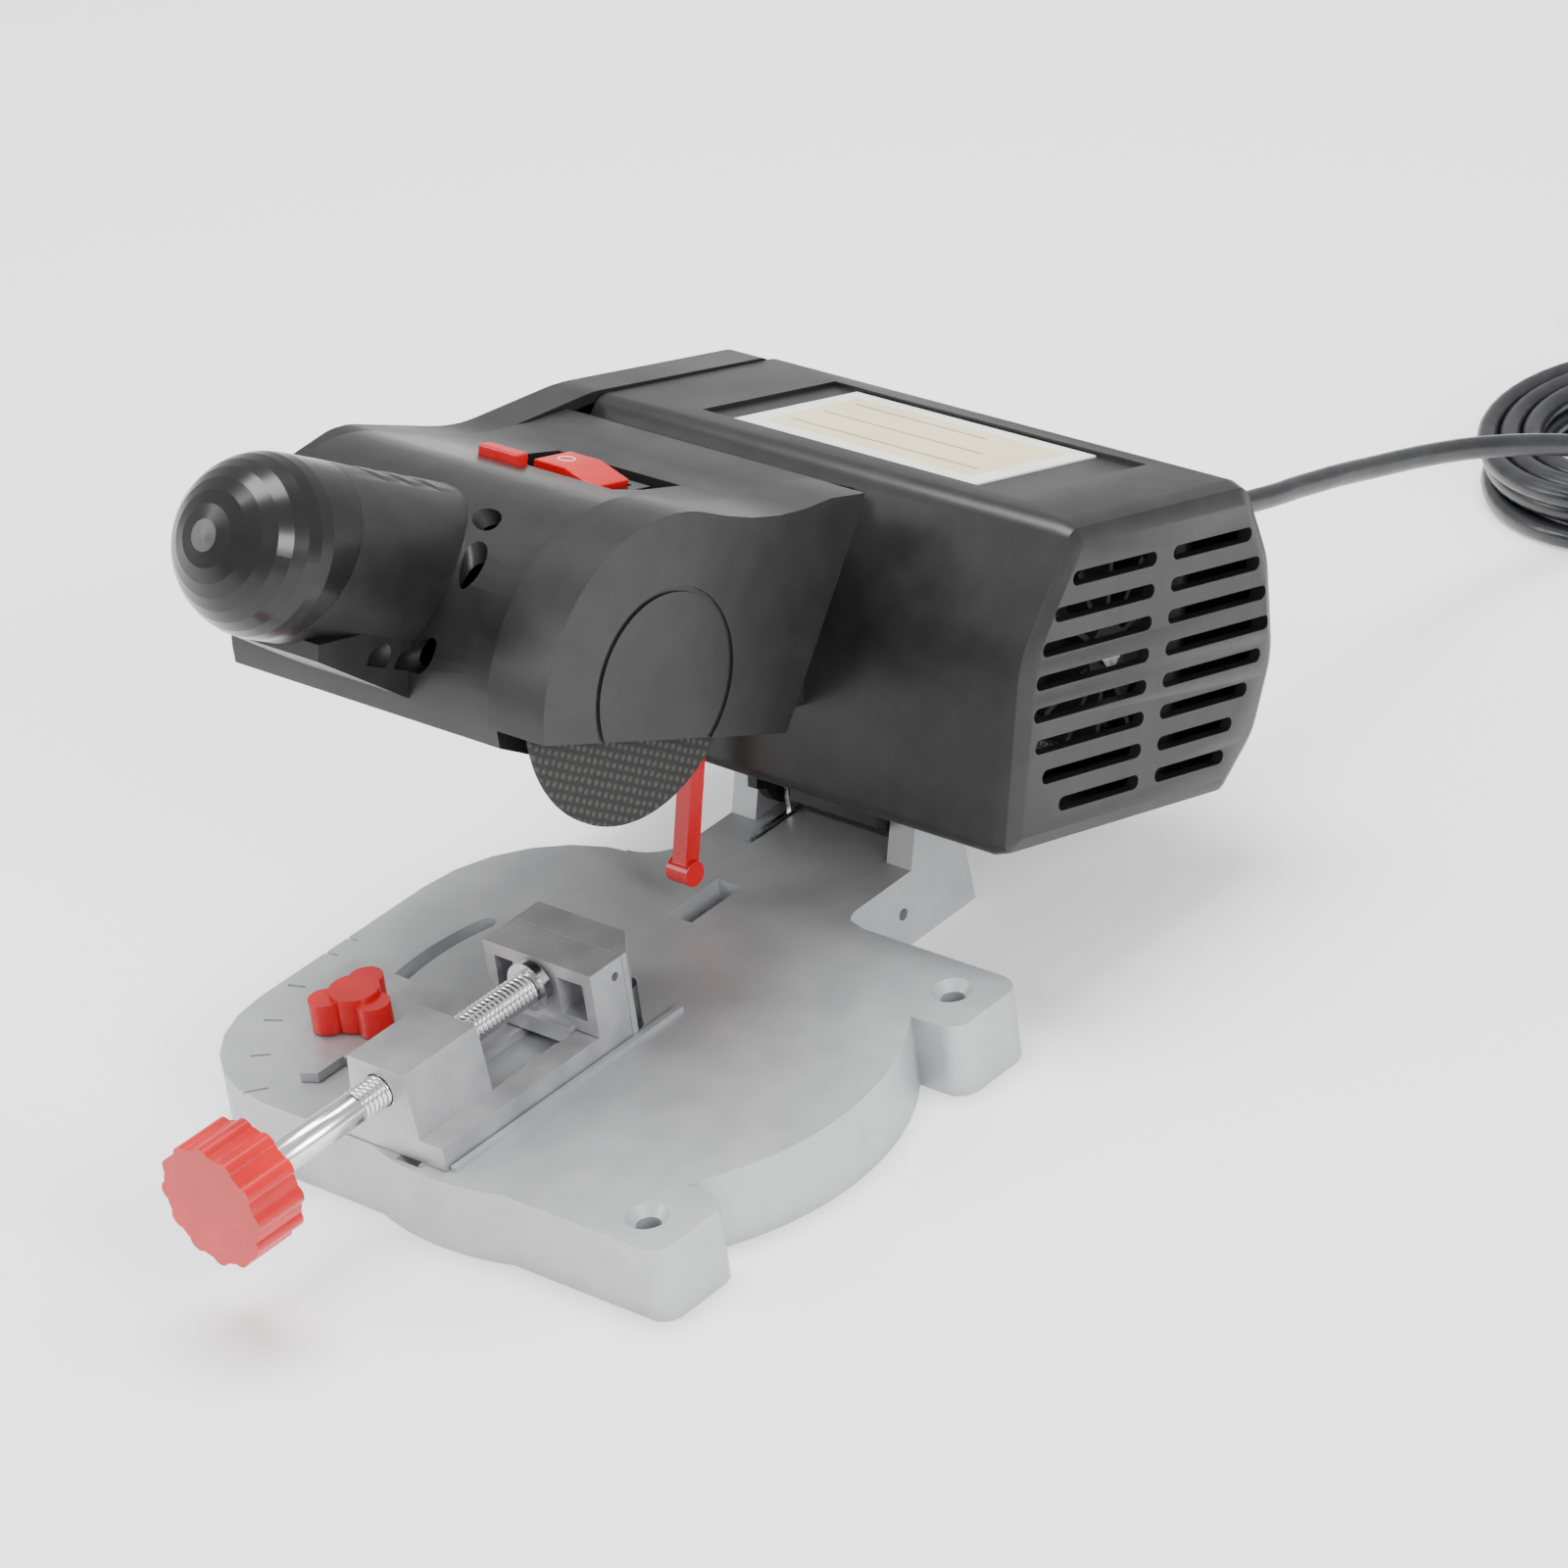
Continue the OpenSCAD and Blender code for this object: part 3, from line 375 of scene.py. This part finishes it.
def cord_plastic():
    mat, tree, shader = principled("cord_plastic", (0.012, 0.012, 0.014), 0.32,
                                   coat=0.2, coat_roughness=0.2)
    spread(tree, noise(tree, 300, 3), 0.26, 0.42, shader.inputs["Roughness"])
    colour = ramp(tree, noise(tree, 200, 2), [(0.3, (0.009, 0.009, 0.011)), (0.7, (0.018, 0.018, 0.02))])
    tree.links.new(colour, shader.inputs["Base Color"])
    bump(tree, shader, noise(tree, 1200, 2), 0.12, 0.00004)
    return mat


def rubber_belt():
    mat, tree, shader = principled("belt_rubber", (0.02, 0.02, 0.02), 0.75)
    colour = ramp(tree, noise(tree, 500, 3), [(0.3, (0.012,) * 3), (0.7, (0.035,) * 3)])
    tree.links.new(colour, shader.inputs["Base Color"])
    bump(tree, shader, noise(tree, 1500, 3), 0.4, 0.0001)
    return mat


def woven_tie():
    mat, tree, shader = principled("tie_fabric", (0.03, 0.03, 0.032), 0.9)
    weave = add(tree, "ShaderNodeTexWave", Scale=700, Distortion=0.6)
    where = tree.nodes.new("ShaderNodeTexCoord")
    tree.links.new(where.outputs["Object"], weave.inputs["Vector"])
    colour = ramp(tree, weave.outputs["Fac"], [(0.1, (0.014,) * 3), (0.9, (0.05,) * 3)])
    tree.links.new(colour, shader.inputs["Base Color"])
    bump(tree, shader, weave.outputs["Fac"], 0.5, 0.0001)
    return mat


def printed_label(name, colour_a, colour_b):
    """Glossy film, slightly uneven where it was pressed down."""
    mat, tree, shader = principled(name, colour_b, 0.22, coat=0.3)
    colour = ramp(tree, noise(tree, 60, 2), [(0.35, colour_a), (0.65, colour_b)])
    tree.links.new(colour, shader.inputs["Base Color"])
    spread(tree, noise(tree, 90, 2), 0.18, 0.34, shader.inputs["Roughness"])
    bump(tree, shader, noise(tree, 120, 2), 0.08, 0.0001)
    return mat


MATS = {
    "black_shell": shell_plastic("black_shell", 0.013, 0.3, 0.42),
    "black_gloss": shell_plastic("black_gloss", 0.008, 0.2, 0.28, grain=0.05),
    "red_plastic": red_plastic(),
    "cast_base": cast_metal("cast_base", (0.4, 0.405, 0.415), (0.46, 0.465, 0.475), 0.4, 0.5, 0.45, 0.22),
    "cast_vise": cast_metal("cast_vise", (0.36, 0.36, 0.37), (0.5, 0.5, 0.51), 0.36, 0.5, 0.6, 0.3),
    "zinc_steel": steel("zinc_steel", 0.72, 0.14, 0.26, (1, 0.08, 1)),
    "bright_steel": steel("bright_steel", 0.6, 0.2, 0.35, (0.08, 1, 1)),
    "dark_steel": steel("dark_steel", 0.22, 0.3, 0.45, (1, 1, 0.2)),
    "abrasive": abrasive(),
    "label_film": printed_label("label_film", (0.84, 0.84, 0.82), (0.93, 0.93, 0.91)),
    "label_print": printed_label("label_print", (0.8, 0.7, 0.4), (0.86, 0.77, 0.48)),
    "label_rule": printed_label("label_rule", (0.3, 0.27, 0.2), (0.36, 0.33, 0.25)),
    "mark_white": printed_label("mark_white", (0.8, 0.55, 0.52), (0.9, 0.66, 0.62)),
    "belt_rubber": rubber_belt(),
    "carbon": shell_plastic("carbon", 0.03, 0.5, 0.7),
    "fan_plastic": shell_plastic("fan_plastic", 0.03, 0.45, 0.6),
    "cord_rubber": cord_plastic(),
    "tie_fabric": woven_tie(),
    "pin_brass": steel("pin_brass", 0.6, 0.2, 0.32, (0.1, 1, 1)),
}
SLOT_OF = {s["node"]: s["material_slot"] for s in frame["record"]["subparts"]}
BODY_OF = {n: o["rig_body"] for n, o in NODES.items()}


def paint(obj, slot):
    obj.data.materials.clear()
    obj.data.materials.append(MATS[slot])


def finish_piece(obj, body, slot, *nodes, look=None):
    """Gives a new piece its material, taken from look or else from slot, and its body, and hides the CAD
    nodes it stands for.
    """
    paint(obj, look or slot)
    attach(obj, body)
    if nodes:
        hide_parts(*nodes)
    return obj


# ---- Shells and castings with rounded edges ----
def softened(node, width, angle=32, segments=2):
    """The CAD node with its seams welded and its sharp edges rounded."""
    mesh = NODES[node].data.copy()
    piece = link(bpy.data.objects.new(node + "_soft", mesh))
    work = bmesh.new()
    work.from_mesh(mesh)
    bmesh.ops.remove_doubles(work, verts=work.verts, dist=0.00001)
    bmesh.ops.dissolve_limit(work, angle_limit=math.radians(0.6), verts=work.verts, edges=work.edges)
    work.to_mesh(mesh)
    work.free()
    mesh.polygons.foreach_set("use_smooth", [True] * len(mesh.polygons))
    for attribute in ("custom_normal", "sharp_edge", "sharp_face"):
        if attribute in mesh.attributes:
            mesh.attributes.remove(mesh.attributes[attribute])
    bevel = piece.modifiers.new("round", "BEVEL")
    bevel.width = width
    bevel.segments = segments
    bevel.limit_method = "ANGLE"
    bevel.angle_limit = math.radians(angle)
    bevel.miter_outer = "MITER_ARC"
    bevel.use_clamp_overlap = True
    bevel.harden_normals = True
    graph = bpy.context.evaluated_depsgraph_get()
    piece.data = bpy.data.meshes.new_from_object(piece.evaluated_get(graph))
    piece.modifiers.clear()
    return finish_piece(piece, BODY_OF[node], SLOT_OF[node], node)


# Width of each node's rounded edges, in millimetres
EDGES = {
    "base_casting": 0.7, "vise_frame": 0.35, "moving_jaw": 0.3, "vise_knob": 0.5, "vise_lock_knob": 0.6,
    "upper_housing": 0.45, "lower_housing": 0.45, "belt_cover": 0.6, "blade_guard": 0.5,
    "rocker_switch": 0.3, "switch_bezel": 0.25, "lock_button": 0.4, "guide_post": 0.25,
    "plug_body": 0.3, "strain_relief": 0.25, "hinge_pin": 0.2, "arbor_bolt": 0.2,
}
for node_name, edge_mm in EDGES.items():
    softened(node_name, edge_mm * MM)
for node_name, obj in NODES.items():
    paint(obj, SLOT_OF[node_name])

# The cord follows the strain relief, and lies still before it reaches the coil
paint(cord_run, "cord_rubber")
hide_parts("power_cord", "cord_coil", "cord_tail")
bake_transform(cord_run)


# ---- Vise screw with its thread ----
def vise_screw():
    """Shank, rolled right-hand thread and nose, as one turned surface about the screw's axis."""
    sides, per_turn, chamfer = 24, 8, 0.4
    step = THREAD_PITCH / per_turn
    threaded = round((NOSE_Y - THREAD_Y) * per_turn / THREAD_PITCH)
    rows = [(SHANK_Y, SHANK_R), (THREAD_Y - chamfer, SHANK_R)]
    rows += [(THREAD_Y + i * step, None) for i in range(threaded + 1)]
    rows += [(NOSE_Y, NOSE_R), (SCREW_TIP_Y, NOSE_R)]
    verts = []
    for y, radius in rows:
        for k in range(sides):
            share = k / sides
            crest = 1 - abs(2 * ((y / THREAD_PITCH + share) % 1) - 1)
            r = radius if radius else THREAD_ROOT_R + THREAD_DEPTH * crest
            angle = 2 * math.pi * share
            verts.append(Vector((SCREW_X + r * math.cos(angle), y, SCREW_Z + r * math.sin(angle))) * MM)
    faces = ring_faces(len(rows), sides, flip=True)
    screw = from_data("vise_screw_thread", verts, faces)
    screw.data.polygons.foreach_set("use_smooth", [len(f) == 4 for f in faces])
    finish_piece(screw, "screw", "zinc_steel", "vise_screw")


vise_screw()


# ---- Print on the label and the rocker's marks ----
def head_plate(name, low, high, z, thick):
    """A thin plate in the head's frame, from corner low to corner high, in millimetres."""
    corners = [(x, y, h) for h in (z, z + thick) for x, y in
               ((low[0], low[1]), (high[0], low[1]), (high[0], high[1]), (low[0], high[1]))]
    verts = [head_matrix() @ (Vector(c) * MM) for c in corners]
    faces = [(3, 2, 1, 0), (4, 5, 6, 7), (0, 1, 5, 4), (1, 2, 6, 5), (2, 3, 7, 6), (3, 0, 4, 7)]
    return from_data(name, verts, faces, smooth=False)


def printed_areas():
    """A pale yellow panel with plain rules, and no lettering."""
    film = 0.04
    panel = head_plate("label_panel", (-71.5, 73), (-25, 98.8), LABEL_TOP, film)
    finish_piece(panel, "head", "label_film", look="label_print")
    for i, y in enumerate((77.5, 86, 94.5)):
        rule = head_plate(f"label_rule_{i}", (-69, y), (-27.5 - 6 * i, y + 0.7), LABEL_TOP + 0.03, film)
        finish_piece(rule, "head", "label_film", look="label_rule")


def rocker_mark():
    """The off mark, a ring on the rocker's raised half."""
    sides, across, ring_r, wire_r = 28, 6, 1.45, 0.16
    top_slope = math.radians(-8.2)
    rocker = head_matrix() @ Matrix.Translation(Vector(ROCKER_PIVOT) * MM)
    rocker = rocker @ Matrix.Rotation(math.radians(ROCKER_TILT), 4, "Y")
    seat = rocker @ Matrix.Translation(Vector((-3.6, 0, 5.9)) * MM) @ Matrix.Rotation(top_slope, 4, "Y")
    verts = []
    for i in range(sides):
        for k in range(across):
            a, b = 2 * math.pi * i / sides, 2 * math.pi * k / across
            r, rise = ring_r + wire_r * math.cos(b), wire_r * 0.5 * math.sin(b)
            verts.append(seat @ (Vector((r * math.cos(a), r * math.sin(a), rise)) * MM))
    faces = [(i * across + k, (i + 1) % sides * across + k, (i + 1) % sides * across + (k + 1) % across,
              i * across + (k + 1) % across) for i in range(sides) for k in range(across)]
    finish_piece(from_data("rocker_mark", verts, faces), "rocker", "red_plastic", look="mark_white")


printed_areas()
rocker_mark()


# ---- Room ----
def add_floor():
    mat, tree, shader = principled("floor_white", (0.92, 0.92, 0.92), 0.6, specular=0.2)
    shader.inputs["Emission Color"].default_value = (1, 1, 1, 1)
    shader.inputs["Emission Strength"].default_value = 0.3
    spread(tree, noise(tree, 3, 2), 0.55, 0.65, shader.inputs["Roughness"])
    size = 6.0
    floor = from_data("floor", [(-size, -size, 0), (size, -size, 0), (size, size, 0), (-size, size, 0)],
                      [(0, 1, 2, 3)], smooth=False)
    floor.data.materials.append(mat)


def add_area(name, place, target, size, power):
    data = bpy.data.lights.new(name, "AREA")
    data.shape = "RECTANGLE"
    data.size, data.size_y = size
    data.energy = power
    lamp = link(bpy.data.objects.new(name, data))
    lamp.location = place
    lamp.rotation_euler = (Vector(target) - Vector(place)).to_track_quat("-Z", "Y").to_euler()


def add_lights():
    world = bpy.data.worlds.new("studio")
    bpy.context.scene.world = world
    world.use_nodes = True
    background = world.node_tree.nodes["Background"]
    background.inputs["Color"].default_value = (1, 1, 1, 1)
    background.inputs["Strength"].default_value = 0.85
    middle = (-0.03, 0.03, 0.06)
    add_area("overhead", (-0.15, 0.15, 1.1), middle, size=(0.7, 0.5), power=19)
    add_area("right_front", (0.9, -0.25, 0.55), middle, size=(0.35, 0.35), power=9)
    add_area("left_front", (-0.8, -0.7, 0.6), middle, size=(0.4, 0.6), power=6)


add_floor()
add_lights()
